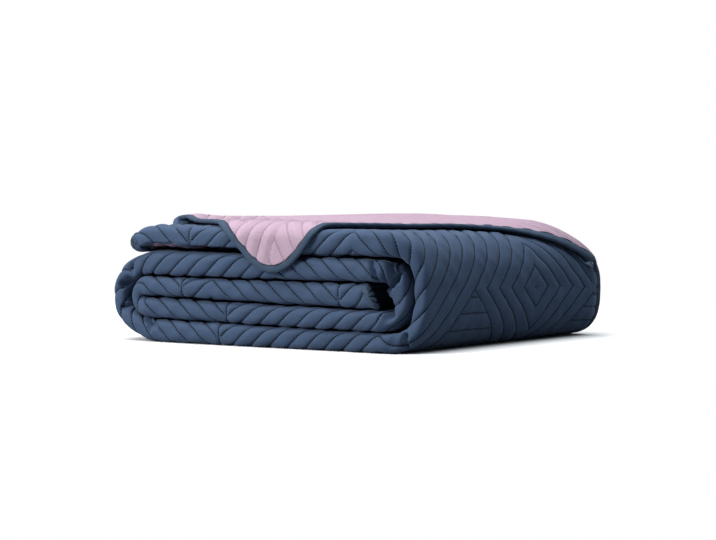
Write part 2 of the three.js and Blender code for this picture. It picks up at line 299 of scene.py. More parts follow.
def dense_path():
    """The strip's middle line: rows of x, z, thickness and how far the front edge is drawn back."""
    rows, marks = [], {}
    names = list(LAYERS)
    for i, name in enumerate(names):
        a = LAYERS[name]
        f = np.linspace(0, 1, LAYER_POINTS)
        sag = np.sin(np.pi * f) * (0.0 if name == "base" else SAG)
        first = sum(map(len, rows))
        marks[name] = (first, first + len(f) - 1)
        x, z, t = (mix(a[axis + "0"], a[axis + "1"], f) for axis in "xzt")
        rows.append(np.stack([x, z - sag, t, 0 * f], axis=1))
        if i == len(TURNS):
            continue
        turn, b = TURNS[i], LAYERS[names[i + 1]]
        f = np.linspace(0, 1, TURN_POINTS)[1:-1]
        angle = np.pi * (f - 0.5)
        out = bend(np.cos(angle), 2 / turn["square"])
        bulge = np.sin(np.pi * f) ** 1.2
        middle, half = (a["z1"] + b["z0"]) / 2, (b["z0"] - a["z1"]) / 2
        x = mix(mix(a["x1"], b["x0"], f), turn["reach"], out)
        z = middle + half * bend(np.sin(angle), 2 / turn["square"])
        t = mix(mix(a["t1"], b["t0"], f), turn["t"], bulge)
        rows.append(np.stack([x, z, t, turn["drawn"] * bulge], axis=1))
    last = LAYERS["top"]
    f = np.linspace(0, OUTER_END["made"], END_POINTS)[1:]
    x = last["x1"] - OUTER_END["length"] * f
    z = last["z1"] - OUTER_END["drop"] * f * f
    rows.append(np.stack([x, z, mix(last["t1"], OUTER_END["t"], f), 0 * f], axis=1))
    rows = np.concatenate(rows)
    s = np.concatenate([[0], np.cumsum(np.hypot(np.diff(rows[:, 0]), np.diff(rows[:, 1])))])
    return s, rows, marks


DENSE_S, DENSE, MARKS = dense_path()


def s_on(layer, x):
    """How far along the strip a place in a straight layer is."""
    a, b = MARKS[layer]
    f = (x - DENSE[a, 0]) / (DENSE[b, 0] - DENSE[a, 0])
    return mix(DENSE_S[a], DENSE_S[b], f)


def along(s):
    """The path at lengths s: x, z, t, drawn, and the outward direction (out_x, out_z)."""
    inside = np.clip(s, 0, DENSE_S[-1])
    x, z, t, drawn = (np.interp(inside, DENSE_S, DENSE[:, k]) for k in range(4))
    near = 1.5
    lo, hi = np.clip(inside - near, 0, None), np.clip(inside + near, None, DENSE_S[-1])
    dx = np.interp(hi, DENSE_S, DENSE[:, 0]) - np.interp(lo, DENSE_S, DENSE[:, 0])
    dz = np.interp(hi, DENSE_S, DENSE[:, 1]) - np.interp(lo, DENSE_S, DENSE[:, 1])
    length = np.hypot(dx, dz)
    out_x, out_z = dz / length, -dx / length
    beyond = s - inside
    return x - out_z * beyond, z + out_x * beyond, t, drawn, out_x, out_z


def front_edge(s, drawn):
    return drawn + FRONT["waver"] * (0.5 + 0.5 * np.sin(s / FRONT["wave"]))


def back_edge(s):
    return DEPTH - BACK["waver"] * (0.5 + 0.5 * np.sin(s / BACK["wave"] + 1))


def settled(x, y):
    front = np.exp(-((np.maximum(y, 0) / SETTLE["front_depth"]) ** 2))
    back = np.clip(y / DEPTH, 0, 1) ** 1.5
    slump = SETTLE["slump"] * smooth(*SETTLE["slump_x"], x) * back
    corner = SETTLE_CORNER["by"] * smooth(*SETTLE_CORNER["y"], y) * smooth(*SETTLE_CORNER["x"], x)
    return mix(SETTLE["flat"], 1, front) - slump - corner


def dent_at(s, y):
    """How far the middle of the core's end is drawn in, behind its front fold."""
    first, most, last = CORE_END["dent_y"]
    across = smooth(first, most, y) * (1 - smooth(most, last, y))
    return CORE_END["dent"] * across * (1 - smooth(0, CORE_END["dent_over"], s))


def place(s, y, n):
    """Points n out from the strip's middle at length s and depth y."""
    x, z, t, _, out_x, out_z = along(s)
    px = x + out_x * n - CORE_END["slant"] * 2 * n / t * (1 - smooth(0, CORE_END["over"], s)) - dent_at(s, y)
    pz = (z + out_z * n) * settled(px, y)
    return np.stack(np.broadcast_arrays(px, y, np.where(pz < LIES_FLAT, 0.0, pz)), axis=-1)


TOP_START = s_on("top", LAYERS["top"]["x0"])


def on_top(x):
    """The length along the strip at a flat x on the top layer. It is its own inverse."""
    return LAYERS["top"]["x0"] + TOP_START - x


# ---- the quilting pattern ----

# The wrap at the right has the middle of a nest of diamonds, this deep and this high.
WRAP = np.linspace(DENSE_S[MARKS["base"][1]], DENSE_S[MARKS["top"][0]], 400)
DIAMOND_Y, DIAMOND_Z = 274.0, 79.0
DIAMOND_S = float(WRAP[np.argmin(np.abs(along(WRAP)[1] - DIAMOND_Z))])
SIDE = 5 * SEAM

# Along the front fold the seams turn from one slant to the other at these places. The two beside the
# diamonds are a whole number of half seams from their middle, so that the seams run on into them.
SECOND_FLIP, THIRD_FLIP, BASE_FLIP = s_on("second", 168), s_on("third", 239), s_on("base", 158)
FLIPS = [
    DIAMOND_S + step * round((s - DIAMOND_S) / step)
    for s, step in (
        (s_on("core", 339), STEP),
        (s_on("core", 146), STEP),
        (s_on("core", 101), STEP),
        (SECOND_FLIP, STEP),
        ((SECOND_FLIP + THIRD_FLIP) / 2, STEP),
        (THIRD_FLIP, STEP),
        ((THIRD_FLIP + BASE_FLIP) / 2, STEP),
        (BASE_FLIP, STEP),
        (s_on("base", 397), SEAM / 2),
        (s_on("top", 362), SEAM / 2),
        (s_on("top", 110), STEP),
    )
]
# At these flips a seam also runs straight back, through the points of the chevrons.
WITH_AXIS = [FLIPS[i] for i in (0, 2, 3, 7, 10)]
FIRST_SLANT = -1
# The stretch of pattern that goes round the wrap at the right, and a place well before the strip.
WRAP_STRETCH = 9
WELL_BEFORE = 4000
# Straight seams fill the corners under the diamonds: clear of their edges, this deep, and off the fold.
UNDER = dict(clear=0.8 * STEP, deep=0.85 * SIDE, off_fold=34)


def slant_table():
    """(start, level, slant) of each stretch between two flips, lined up with the diamonds."""
    starts = [FLIPS[0] - WELL_BEFORE] + FLIPS
    levels, slant = [0.0], FIRST_SLANT
    for a, b in zip(starts, starts[1:]):
        levels.append(levels[-1] + slant * (b - a))
        slant = -slant
    slants = [FIRST_SLANT * (-1) ** i for i in range(len(starts))]
    shift = DIAMOND_Y - DIAMOND_S + starts[WRAP_STRETCH] - levels[WRAP_STRETCH]
    return np.array(starts), np.array(levels) + shift, np.array(slants)


STARTS, LEVELS, SLANTS = slant_table()


def chosen_plane(on, new, old):
    """The seam plane new where on holds, and the plane old elsewhere."""
    return tuple(np.where(on, a, b) for a, b in zip(new, old))


def seam_plane(s, v):
    """The seams near a point of the cloth as a plane: phase = ps * s + pv * v + p0, whole on a seam."""
    k = np.clip(np.searchsorted(STARTS, s, side="right") - 1, 0, len(STARTS) - 1)
    plane = -SLANTS[k] / SEAM, np.full(np.shape(s), 1 / SEAM), (-LEVELS[k] + SLANTS[k] * STARTS[k]) / SEAM
    for axis in WITH_AXIS:
        plane = chosen_plane(np.abs(s - axis) < STEP, (1 / ACROSS, 0, -axis / ACROSS), plane)
    a, b = v - DIAMOND_Y, s - DIAMOND_S
    in_nest = (a > -SIDE) & (np.abs(b) < 2 * SIDE)
    sign_a, sign_b = np.where(a < 0, -1, 1), np.where(b < 0, -1, 1)
    level = (sign_a * DIAMOND_Y + sign_b * DIAMOND_S) / SEAM
    plane = chosen_plane(in_nest, (-sign_b / SEAM, -sign_a / SEAM, level), plane)
    for apex in (-SIDE, SIDE):
        under = (b < 0) & (b > -UNDER["deep"]) & (np.abs(a - apex) < -b - UNDER["clear"])
        under = under & (v > UNDER["off_fold"])
        plane = chosen_plane(under, (1 / ACROSS, 0, -DIAMOND_S / ACROSS - 0.5), plane)
    return plane


def puff_at(s, v):
    """How far the cloth sinks below the tops of its channels."""
    ps, pv, p0 = seam_plane(s, v)
    phase = ps * s + pv * v + p0
    away = np.abs(phase - np.round(phase)) * 2
    deep = PUFF * (1 + FRONT_PUFF["more"] * (1 - smooth(0, FRONT_PUFF["over"], v)))
    return deep * (1 - np.sqrt(np.clip(1 - (1 - away) ** 2, 0, 1)))


def rumple_at(s, v):
    """The soft unevenness of the whole cloth, on top of its channels."""
    return RUMPLE * np.sin(s / 8.3 + 2 * np.sin(v / 13)) * np.sin(v / 9.7 + 1.5 * np.sin(s / 17))


# ---- the strip's surface ----

ROWS = DIAMOND_S + STEP * np.arange(
    math.ceil(-DIAMOND_S / STEP), math.floor((DENSE_S[-1] - DIAMOND_S) / STEP) + 1
)
TURN_S = np.linspace(DENSE_S[MARKS["second"][1]], DENSE_S[MARKS["third"][0]], 200)
BULGE_S = float(TURN_S[np.argmin(np.abs(along(TURN_S)[1] - HOLLOW_BULGE["z"]))])
FINE = DIAMOND_Y + STEP * np.arange(-120, 47)
INNER_COLUMNS = 22
FOLD_COLUMNS = 9
# About how much cloth goes round the front fold before the inner ply starts.
FOLD_LENGTH = 50.0
# At the back edge: how far the cloth is from its binding and the folded plies from each other, how far
# inside the edge these start, and the cloth depths of what the binding covers.
EDGE = dict(clear=0.3, apart=0.2, inner=12, covered=(12, 20))

# Right of this the cloth behind the crease keeps its navy side up.
CREASE_ENDS_X = CORNER[0][0] - 14


def crease_at(s):
    """The depth at which the turned-back corner is creased, and how much lower the cloth lies behind it."""
    (rx, ry, _), (lx, ly, _) = CORNER[0], CORNER[-1]
    f = np.clip((on_top(s) - lx) / (rx - lx), 0, 1)
    drop = PLY * smooth(on_top(rx) - 8, on_top(rx) + 8, s)
    return mix(ly, ry, f), drop


def step_down(crease, drop, y):
    """How much lower the cloth is at depth y, for the ply that is turned back at the crease."""
    return drop * smooth(crease - 10, crease + 6, y)


def nose_table(half):
    """The rounded front fold as points by arc length, from the outer face round to the inner one."""
    angle = np.linspace(np.pi / 2, -np.pi / 2, 121)
    y = FRONT["nose"] * (1 - bend(np.cos(angle), 2 / FRONT["square"]))
    n = half * bend(np.sin(angle), 2 / FRONT["square"])
    length = np.concatenate([[0], np.cumsum(np.hypot(np.diff(y), np.diff(n)))])
    return length, y, n


def bulge_at(s, y):
    """How far the right inner turn bulges into the hollow that it goes round, at depth y."""
    by = HOLLOW_BULGE["by"] + HOLLOW_BULGE["deeper"] * smooth(*HOLLOW_BULGE["from_y"], y)
    return by * math.exp(-(((s - BULGE_S) / HOLLOW_BULGE["over"]) ** 2))


def section(s):
    """One closed section of the strip: y, n and the cloth's own depth v, from the inner plies' back."""
    _, _, t, drawn, _, _ = (float(a) for a in along(np.array(s)))
    half, front, back = t / 2, float(front_edge(s, drawn)), float(back_edge(s))
    bound = back - TAPE_WIDTH - EDGE["clear"]
    length, nose_y, nose_n = nose_table(half)
    start = front + FRONT["nose"]
    run = start - FINE
    y = np.where(run < 0, FINE, np.interp(run, length, front + nose_y))
    y = np.where(run > length[-1], start + run - length[-1], y)
    n = np.where(run < 0, half, np.interp(run, length, nose_n))
    crease, drop = (float(a) for a in crease_at(s))
    n = n - step_down(crease, drop, y) * (run < 0)
    n = np.where(n < 0, n * (half + bulge_at(s, y)) / half, n)
    f = np.linspace(0, 1, INNER_COLUMNS, endpoint=False)
    inner_y = mix(back - EDGE["inner"], y[0], f)
    angle = np.linspace(np.pi / 2, -np.pi / 2, FOLD_COLUMNS)
    fold_y = back - BACK["fold_nose"] + BACK["fold_nose"] * np.cos(angle)
    fold_n = -half / 2 - EDGE["apart"] + (half / 2 - EDGE["apart"]) * np.sin(angle)
    end_n = half - float(step_down(crease, drop, bound))
    y = np.concatenate([inner_y, y, [bound, bound], fold_y])
    n = np.concatenate([-half - bulge_at(s, inner_y), n, [end_n, -EDGE["clear"]], fold_n])
    inner_v = FINE[0] - (inner_y - y[INNER_COLUMNS])
    cut_v, fold_v = (bound + deeper for deeper in EDGE["covered"])
    v = np.concatenate([inner_v, FINE, [bound, cut_v], np.full(FOLD_COLUMNS, fold_v)])
    return y, n, v


def to_line(x, z, line):
    """Distance of points (x, z) from a broken line, and on which side of it they are."""
    best, side = np.full(x.shape, 1e9), np.zeros(x.shape)
    for (ax, az), (bx, bz) in zip(line, line[1:]):
        run = np.array([bx - ax, bz - az])
        f = np.clip(((x - ax) * run[0] + (z - az) * run[1]) / (run @ run), 0, 1)
        dx, dz = x - ax - f * run[0], z - az - f * run[1]
        away = np.hypot(dx, dz)
        side = np.where(away < best, np.sign(run[0] * dz - run[1] * dx), side)
        best = np.minimum(best, away)
    return best, side


def third_top():
    """How high the outer turn and third layer reach at each x, as a table."""
    s = np.linspace(DENSE_S[MARKS["third"][0]], DENSE_S[MARKS["base"][0]], 900)
    x, z, t, _, out_x, out_z = along(s)
    x, z = x + out_x * t / 2, z + out_z * t / 2
    every = 2.0
    at = np.arange(-20, 400, every)
    high = np.array([z[np.abs(x - a) < every].max(initial=0) for a in at])
    return at, high


def worked(s, v, y, points):
    """The strip's points where its folds are pinched, sag on what is below, or are tucked back."""
    x, z = points[..., 0].copy(), points[..., 2].copy()
    shallow = 1 - smooth(*PINCH_FADES, y)
    for line, width, depth, only in PINCHES:
        away, side = to_line(x, z, line)
        pushed = depth * np.exp(-((away / width) ** 2))
        if only:
            pushed = np.where(side * only > 0, depth * np.exp(-away / width), pushed * (away < 0.01))
        points[..., 1] += pushed * shallow
    at, high = THIRD_TOP
    over = (s > s_on("top", HEM_X)) & (v < DIAMOND_Y)
    _, _, t, drawn, _, _ = along(s)
    run = front_edge(s, drawn) + FRONT["nose"] - v
    tuck_run = run - np.interp(x, TUCK["at"], TUCK["run"])
    in_tuck = over & (tuck_run > -STEP) & (run < TUCK_FADES[1])
    first, last = LOBES["run"] - LOBES["eased"], LOBES["run"] + LOBES["eased"]
    lobe = (1 - smooth(first, last, tuck_run)) * (1 - smooth(*LOBES["until"], x))
    deep = mix(TUCK["depth"], LOBES["depth"], lobe)
    for tooth in LOBES["teeth"]:
        deep = deep - LOBES["cut"] * LOBES["depth"] * lobe * np.exp(-(((x - tooth) / LOBES["tooth"]) ** 2))
    deep = deep * smooth(*TUCK_STARTS, tuck_run) * smooth(*TUCK["from_x"], x) * (1 - smooth(*TUCK["to_x"], x))
    points[..., 1] += np.where(in_tuck, deep * (1 - smooth(*TUCK_FADES, run)), 0)
    lowest = np.interp(x, at, high) * settled(x, y) + SAG_TO_BELOW["gap"]
    inner = over & (run > FOLD_LENGTH - 2)
    low = np.clip(points[..., 2] - lowest, 0, SAG_TO_BELOW["most"]) * smooth(*SAG_TO_BELOW["from_y"], y)
    points[..., 2] -= np.where(inner, low, 0)
    return points


def outward(points, triangles):
    """Smooth normals of a mesh at its points."""
    a, b, c = (points[triangles[:, k]] for k in range(3))
    face = np.cross(b - a, c - a)
    normals = np.zeros_like(points)
    for k in range(3):
        np.add.at(normals, triangles[:, k], face)
    return normals / np.maximum(np.linalg.norm(normals, axis=1, keepdims=True), 1e-12)


def tube_triangles(rows, columns, leaning):
    """Triangles of a closed tube of points. Where leaning, a quad is split along its seam's slant."""
    i, j = np.meshgrid(np.arange(rows - 1), np.arange(columns), indexing="ij")
    a, b = i * columns + j, i * columns + (j + 1) % columns
    c, d = b + columns, a + columns
    first = np.where(leaning[..., None], np.stack([a, b, c], -1), np.stack([a, b, d], -1))
    second = np.where(leaning[..., None], np.stack([a, c, d], -1), np.stack([b, c, d], -1))
    return np.stack([first, second], axis=2).reshape(-1, 3)


def strip_grid():
    """The strip puffed between its seams: cloth lengths and depths, quad middles, points, triangles."""
    sections = [section(s) for s in ROWS]
    y, n, v = (np.array([part[k] for part in sections]) for k in range(3))
    s = np.broadcast_to(ROWS[:, None], y.shape)
    points = worked(s, v, y, place(s, y, n))
    rows, columns = y.shape
    centre_s, centre_v = (s[:-1] + s[1:]) / 2, (v[:-1] + np.roll(v, -1, 1)[:-1]) / 2
    ps, pv, _ = seam_plane(centre_s, centre_v)
    triangles = tube_triangles(rows, columns, ps * pv < 0)
    normals = outward(points.reshape(-1, 3), triangles).reshape(points.shape)
    points = points - normals * (puff_at(s, v) + rumple_at(s, v))[..., None]
    points[..., 2] = np.maximum(points[..., 2], 0)
    return s, v, centre_s, centre_v, points, triangles


def seam_uv(s, v, centre_s, centre_v, plane=seam_plane):
    """Each corner's place across and along the seams of its own face."""
    ps, pv, p0 = plane(centre_s, centre_v)
    phase = ps * s + pv * v + p0
    run = (ps * v - pv * s) / np.hypot(ps, pv) / STITCH
    return phase, run


THIRD_TOP = third_top()

# ---- meshes ----

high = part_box("quilt")[1]
last_x, _, last_t, _, last_out, _ = along(WRAP)
reach = float((last_x + last_out * last_t / 2).max())
SHIFT = np.array([reach - high.x / MM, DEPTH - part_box("tape_back_inner")[1].y / MM, 0])


def to_frame(points):
    return (np.asarray(points, float) - SHIFT) * MM


def mesh_of(name, points, triangles, seams=None, cloth=None, normals=None, materials=(), slots=None):
    """A smooth mesh from points and triangles, with its seam and cloth layouts by corner."""
    mesh = bpy.data.meshes.new(name)
    mesh.vertices.add(len(points))
    mesh.vertices.foreach_set("co", to_frame(points).astype(np.float32).ravel())
    count = len(triangles)
    mesh.loops.add(count * 3)
    mesh.loops.foreach_set("vertex_index", np.asarray(triangles, np.int32).ravel())
    mesh.polygons.add(count)
    mesh.polygons.foreach_set("loop_start", np.arange(0, count * 3, 3, dtype=np.int32))
    mesh.polygons.foreach_set("loop_total", np.full(count, 3, np.int32))
    mesh.update(calc_edges=True)
    for layer_name, layout in (("Seams", seams), ("Cloth", cloth)):
        if layout is not None:
            layer = mesh.uv_layers.new(name=layer_name)
            layer.data.foreach_set("uv", np.asarray(layout, np.float32).ravel())
    for material in materials:
        mesh.materials.append(material)
    if slots is not None:
        mesh.polygons.foreach_set("material_index", np.asarray(slots, np.int32))
    mesh.polygons.foreach_set("use_smooth", np.ones(count, bool))
    mesh.validate()
    if normals is not None:
        mesh.normals_split_custom_set_from_vertices(np.asarray(normals, float).tolist())
    mesh.update()
    piece = bpy.data.objects.new(name, mesh)
    bpy.context.scene.collection.objects.link(piece)
    return piece


# ---- materials ----


def group_of(name, inputs, outputs):
    group = bpy.data.node_groups.new(name, "ShaderNodeTree")
    for side, sockets in (("INPUT", inputs), ("OUTPUT", outputs)):
        for socket, kind in sockets:
            group.interface.new_socket(socket, in_out=side, socket_type="NodeSocket" + kind)
    return group, group.nodes.new("NodeGroupInput"), group.nodes.new("NodeGroupOutput")


def calc(tree, operation, *values, clamp=False):
    """A math node over numbers or sockets."""
    made = tree.nodes.new("ShaderNodeMath")
    made.operation, made.use_clamp = operation, clamp
    for socket, value in zip(made.inputs, values):
        if isinstance(value, bpy.types.NodeSocket):
            tree.links.new(value, socket)
        else:
            socket.default_value = value
    return made.outputs[0]


def ramp(tree, value, start, end, first, last):
    """An eased ramp from one value to another as a socket goes from start to end."""
    made = add_node(tree, "ShaderNodeMapRange", interpolation_type="SMOOTHSTEP")
    for socket, number in (("From Min", start), ("From Max", end), ("To Min", first), ("To Max", last)):
        made.inputs[socket].default_value = number
    tree.links.new(value, made.inputs["Value"])
    return made.outputs[0]


# Across a seam, in mm: where its crease and its stitches fade out, and how deep each lies. Along it, how
# far from the middle of a gap the thread starts, in stitches.
CREASE_FADES, STITCH_FADES, GAP_FADES = (0.2, 1.8), (0.6, 1.3), (0.16, 0.26)
CREASE_DEEP, STITCH_DEEP = 0.5, 0.7
# The mottling of the cloth: scale, detail and roughness of each noise, and how far it swings the colour.
MOTTLES = dict(broad=(9.0, 3.0, 0.6, 0.16), nap=(140.0, 3.0, 0.7, 0.22), fine=(900.0, 2.0, 0.6, 0.5))


def make_seam_group():
    """From a face's place across and along its seams: the crease, the stitches in it, and their height."""
    group, given, made = group_of(
        "sewn_seams", [("Seams", "Vector")], [("Crease", "Float"), ("Stitch", "Float"), ("Height", "Float")]
    )
    link = group.links.new
    parts = add_node(group, "ShaderNodeSeparateXYZ")
    link(given.outputs["Seams"], parts.inputs[0])
    middle = calc(group, "ADD", parts.outputs["X"], 0.5)
    away = calc(group, "ABSOLUTE", calc(group, "SUBTRACT", calc(group, "FRACT", middle), 0.5))
    away = calc(group, "MULTIPLY", away, ACROSS)
    crease = ramp(group, away, *CREASE_FADES, 1, 0)
    beat = calc(group, "SUBTRACT", calc(group, "FRACT", parts.outputs["Y"]), 0.5)
    dash = ramp(group, calc(group, "ABSOLUTE", beat), *GAP_FADES, 0, 1)
    stitch = calc(group, "MULTIPLY", dash, ramp(group, away, *STITCH_FADES, 1, 0))
    sunk = calc(group, "MULTIPLY", crease, -CREASE_DEEP)
    height = calc(group, "ADD", sunk, calc(group, "MULTIPLY", stitch, -STITCH_DEEP))
    link(crease, made.inputs["Crease"])
    link(stitch, made.inputs["Stitch"])
    link(height, made.inputs["Height"])
    return group


def make_cloth_group():
    """Brushed microfibre: its colour with the mottling of its nap and painted shade in its seams, its
    roughness and its fine height.
    """
    given_names = [("Base", "Color"), ("Cloth", "Vector")]
    given_names += [(name, "Float") for name in ("Crease", "Stitch", "Shading")]
    made_names = ("Color", "Color"), ("Roughness", "Float"), ("Height", "Float")
    group, given, made = group_of("brushed_microfibre", given_names, made_names)
    link = group.links.new
    level, mottle = 1.0, {}
    for name, (scale, detail, rough, swing) in MOTTLES.items():
        noise = add_node(group, "ShaderNodeTexNoise", Scale=scale, Detail=detail, Roughness=rough)
        link(given.outputs["Cloth"], noise.inputs["Vector"])
        mottle[name] = noise.outputs[0]
        level = calc(group, "ADD", level, calc(group, "MULTIPLY_ADD", mottle[name], swing, -swing / 2))
    # Painted shade: the colour is darkened along each seam's crease and more at its stitches, as strongly as
    # the material's painted seam shade sets.
    sewn = calc(group, "MULTIPLY", given.outputs["Crease"], 0.26)
    sewn = calc(group, "MULTIPLY_ADD", given.outputs["Stitch"], 0.85, sewn)
    sewn = calc(group, "MULTIPLY", sewn, given.outputs["Shading"])
    level = calc(group, "MULTIPLY", level, calc(group, "SUBTRACT", 1.0, sewn))
    shade = add_node(group, "ShaderNodeVectorMath", operation="SCALE")
    link(given.outputs["Base"], shade.inputs[0])
    link(level, shade.inputs["Scale"])
    rough = calc(group, "MULTIPLY_ADD", mottle["nap"], 0.12, 0.76)
    height = calc(group, "MULTIPLY_ADD", mottle["fine"], 0.15, mottle["nap"])
    link(shade.outputs[0], made.inputs["Color"])
    link(rough, made.inputs["Roughness"])
    link(height, made.inputs["Height"])
    return group


def make_quilted(name, colour, sheen, sheen_tint, painted_seam_shade):
    material = bpy.data.materials.new(name)
    material.use_nodes = True
    tree = material.node_tree
    tree.nodes.clear()
    seams = add_node(tree, "ShaderNodeUVMap", uv_map="Seams")
    cloth = add_node(tree, "ShaderNodeUVMap", uv_map="Cloth")
    sewn = add_node(tree, "ShaderNodeGroup", node_tree=SEWN)
    brushed = add_node(tree, "ShaderNodeGroup", node_tree=BRUSHED, Base=colour, Shading=painted_seam_shade)
    height = calc(tree, "ADD", sewn.outputs["Height"], brushed.outputs["Height"])
    bump = add_node(tree, "ShaderNodeBump", Strength=0.8, Distance=MM)
    finish = dict(Sheen_Weight=sheen, Sheen_Roughness=0.45, Sheen_Tint=sheen_tint, Specular_IOR_Level=0.25)
    surface = add_node(tree, "ShaderNodeBsdfPrincipled", **finish)
    out = add_node(tree, "ShaderNodeOutputMaterial")
    link = tree.links.new
    link(seams.outputs[0], sewn.inputs["Seams"])
    link(cloth.outputs[0], brushed.inputs["Cloth"])
    link(sewn.outputs["Crease"], brushed.inputs["Crease"])
    link(sewn.outputs["Stitch"], brushed.inputs["Stitch"])
    link(height, bump.inputs["Height"])
    link(brushed.outputs["Color"], surface.inputs["Base Color"])
    link(brushed.outputs["Roughness"], surface.inputs["Roughness"])
    link(bump.outputs[0], surface.inputs["Normal"])
    link(surface.outputs[0], out.inputs[0])
    return material


SEWN = make_seam_group()
BRUSHED = make_cloth_group()
# The last number of each material is how strongly painted shade darkens its seams.
TAPE = make_quilted("navy_tape", (0.046, 0.078, 0.128, 1), 0.15, (0.62, 0.74, 1.0, 1), 0.5)
NAVY = make_quilted("navy_microfibre", (0.053, 0.090, 0.163, 1), 0.22, (0.62, 0.74, 1.0, 1), 0.9)
ROSE = make_quilted("rose_microfibre", (0.49, 0.35, 0.442, 1), 0.05, (1.0, 0.92, 0.98, 1), 0.20)

# ---- the strip ----

# The lobes' cloth is rose over this much of their run.
LOBES_ROSE = 2, LOBES["run"] + 6


def make_strip():
    s, v, centre_s, centre_v, points, triangles = strip_grid()
    rows, columns = s.shape
    points = points.reshape(-1, 3)
    normals = outward(points, triangles)
    flat_s, flat_v = s.ravel(), v.ravel()
    centre_s, centre_v = np.repeat(centre_s, 2), np.repeat(centre_v, 2)
    corner_s, corner_v = flat_s[triangles], flat_v[triangles]
    wrapped = (triangles % columns == 0) & ((triangles % columns).max(1, keepdims=True) == columns - 1)
    corner_v = np.where(wrapped, flat_v[columns - 1], corner_v)
    seams = np.stack(seam_uv(corner_s, corner_v, centre_s[:, None], centre_v[:, None]), -1)
    cloth = np.stack([corner_s, corner_v], -1) * MM
    j = np.tile(np.repeat(np.arange(columns), 2), rows - 1)
    outer = (j >= INNER_COLUMNS) & (j < columns - FOLD_COLUMNS - 1)
    middle_x = points[triangles].mean(1)[:, 0]
    crease, drop = crease_at(centre_s)
    behind = outer & (centre_v > crease) & (drop > PLY / 2) & (middle_x < CREASE_ENDS_X)
    run = front_edge(centre_s, 0) + FRONT["nose"] - centre_v - np.interp(middle_x, TUCK["at"], TUCK["run"])
    lobes = outer & (centre_s > s_on("top", HEM_X)) & (run > LOBES_ROSE[0]) & (run < LOBES_ROSE[1])
    slots = (behind | (lobes & (middle_x < LOBES["until"][1]))).astype(np.int32)
    joint = int(np.searchsorted(ROWS, DENSE_S[MARKS["third"][1]]))
    made = []
    for name, first, last in (("quilt_inner_turns", 0, joint), ("quilt_outer_turn", joint, rows - 1)):
        chosen = slice(first * columns * 2, last * columns * 2)
        own = slice(first * columns, (last + 1) * columns)
        own_triangles = triangles[chosen] - first * columns
        layouts = seams[chosen], cloth[chosen], normals[own]
        made.append(mesh_of(name, points[own], own_triangles, *layouts, [NAVY, ROSE], slots[chosen]))
    return made


strip = make_strip()
for piece in strip:
    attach(piece, "root")
    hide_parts("quilt")

# ---- the turned-back corner ----


CREASE_RIGHT = np.array([CORNER[0][0] + CREASE["x"], CORNER[0][1] + CREASE["y"]], float)
CREASE_LEFT = np.array([CORNER[-1][0] + CREASE["x"], CORNER[-1][1] + CREASE["y"]], float)
CREASE_LINE = (CREASE_LEFT - CREASE_RIGHT) / np.linalg.norm(CREASE_LEFT - CREASE_RIGHT)
CREASE_NORMAL = np.array([-CREASE_LINE[1], CREASE_LINE[0]])


def corner_outline(count):
    """Evenly spaced flat points round the corner's edge, with the direction to its inside at each."""
    here = np.array([(x, y) for x, y, _ in CORNER], float)
    line = [here[0]]
    for k in range(1, len(CORNER) - 1):
        ends = []
        for other in (here[k - 1], here[k + 1]):
            run = other - here[k]
            length = np.linalg.norm(run)
            ends.append(here[k] + run / length * min(CORNER[k][2], length * 0.49))
        f = np.linspace(0, 1, 60)[:, None]
        line.extend((1 - f) ** 2 * ends[0] + 2 * f * (1 - f) * here[k] + f * f * ends[1])
    line.append(here[-1])
    line = np.array(line)
    length = np.concatenate([[0], np.cumsum(np.linalg.norm(np.diff(line, axis=0), axis=1))])
    at = np.linspace(0, length[-1], count)
    points = np.stack([np.interp(at, length, line[:, k]) for k in range(2)], 1)
    travel = np.gradient(points, axis=0)
    travel /= np.linalg.norm(travel, axis=1, keepdims=True)
    inward = np.stack([travel[:, 1], -travel[:, 0]], 1)
    return points, inward, at


def off_crease(x, y):
    """How far a flat point is from the crease, with its side as the sign."""
    return (x - CREASE_RIGHT[0]) * CREASE_NORMAL[0] + (y - CREASE_RIGHT[1]) * CREASE_NORMAL[1]


def draped(x, y, h, lift=1.0):
    """Flat points of the corner laid h above the top layer, and down over its front."""
    s = on_top(x)
    _, _, t, drawn, _, _ = along(s)
    fades = 1 - smooth(0, LIFTED["over"], np.abs(off_crease(x, y)))
    h = h + lift * np.interp(x, LIFTED["x"], LIFTED["by"]) * fades
    half, turns_down = t / 2, front_edge(s, drawn) + FRONT["nose"]
    radius = half + REST_GAP + PLY / 2
    angle = np.clip((turns_down - y) / radius, 0, STEEPEST)
    hanging = turns_down - y - angle * radius
    depth = np.where(y >= turns_down, y, turns_down - (half + h) * np.sin(angle) - hanging * np.cos(angle))
    n = np.where(y >= turns_down, half + h, (half + h) * np.cos(angle) - hanging * np.sin(angle))
    return place(s, depth, n)


def unfolded(x, y):
    """Where a flat point of the corner was on the cloth before the corner was turned back: s and v."""
    off = off_crease(x, y)
    return on_top(x - 2 * off * CREASE_NORMAL[0]), y - 2 * off * CREASE_NORMAL[1]


def corner_plane(s, v):
    """The seams of the turned-back corner. Beside its tip they run straight down."""
    cut = (DIAMOND_Y - ONE_SLANT < v) & (v < DIAMOND_Y) & (np.abs(s - DIAMOND_S - SIDE) < SIDE)
    one_slant = (-1 / SEAM, -1 / SEAM, (DIAMOND_Y + DIAMOND_S) / SEAM)
    plane = chosen_plane(cut, one_slant, seam_plane(s, v))
    beside = (v < TIP_SEAM) & (TIP_SEAM - v < s - on_top(TIP_APEX))
    return chosen_plane(beside, (0, 1 / ACROSS, -TIP_SEAM / ACROSS), plane)


def soft_puff(s, v):
    """A gentler swell, for cloth whose mesh isn't in line with its seams."""
    ps, pv, p0 = corner_plane(s, v)
    phase = ps * s + pv * v + p0
    return 0.5 * PUFF * (1 + np.cos(2 * np.pi * phase)) ** 1.5 / 1.6


